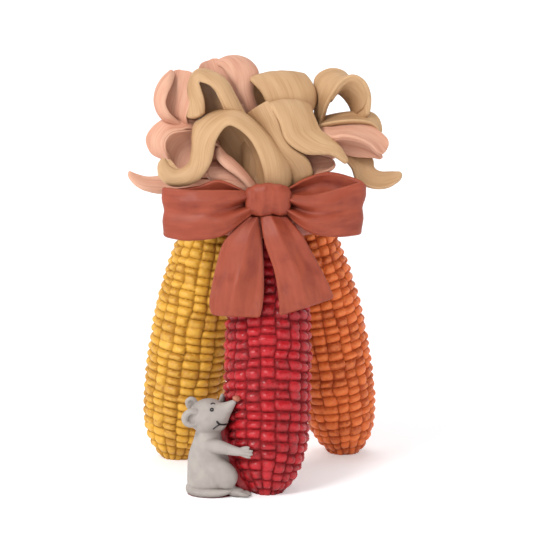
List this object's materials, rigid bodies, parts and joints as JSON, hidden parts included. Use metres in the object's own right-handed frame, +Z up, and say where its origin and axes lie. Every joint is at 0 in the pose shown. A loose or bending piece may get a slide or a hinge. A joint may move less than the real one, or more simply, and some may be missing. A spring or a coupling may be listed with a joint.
{
  "type": "corn cob figurine",
  "caption": "Painted cast figurine: yellow, red and orange corn cobs stood as a tripod, tied with a bow under curled husk leaves, hugged by a small mouse.",
  "frame": {"origin": "on the floor, below the middle of the whole model's bounding box", "axes": "+Z up and the tallest way, -Y is the front with the bow and the mouse, +Y is the narrowest way, +X is to the viewer's right"},
  "size_m": [0.1436, 0.1189, 0.2222],
  "materials": {
    "cob_yellow": "satin painted resin, brown wash in the grooves",
    "cob_red": "glossier painted resin, dark wash in the grooves",
    "cob_orange": "satin painted resin, rust wash in the grooves",
    "bow": "satin painted resin, brushed highlights",
    "husk_tan": "matte painted resin, brown wash in the folds",
    "husk_pink": "matte painted resin, rose wash in the folds",
    "mouse": "matte painted resin",
    "mouse_nose": "satin painted resin"
  },
  "bodies": {
    "root": {"bow_band": "bow", "bow_knot": "bow", "bow_loop_left": "bow", "bow_loop_right": "bow", "bow_tail_left": "bow", "bow_tail_right": "bow", "cob_orange": "cob_orange", "cob_red": "cob_red", "cob_yellow": "cob_yellow", "husk_core": "husk_tan", "husk_pink_back": "husk_pink", "husk_pink_back_right": "husk_pink", "husk_pink_cup_left": "husk_pink", "husk_pink_curl_left": "husk_pink", "husk_pink_horn_left": "husk_pink", "husk_pink_inner_left": "husk_pink", "husk_pink_low_left": "husk_pink", "husk_pink_low_right": "husk_pink", "husk_pink_right": "husk_pink", "husk_pink_top": "husk_pink", "husk_tan_arch_left": "husk_tan", "husk_tan_arch_right": "husk_tan", "husk_tan_back_left": "husk_tan", "husk_tan_back_right": "husk_tan", "husk_tan_band_right": "husk_tan", "husk_tan_curl_right": "husk_tan", "husk_tan_front_left": "husk_tan", "husk_tan_front_right": "husk_tan", "husk_tan_side_left": "husk_tan", "husk_tan_top": "husk_tan", "mouse": "mouse", "mouse_nose": "mouse_nose", "mouse_tail": "mouse"}
  },
  "joints": []
}
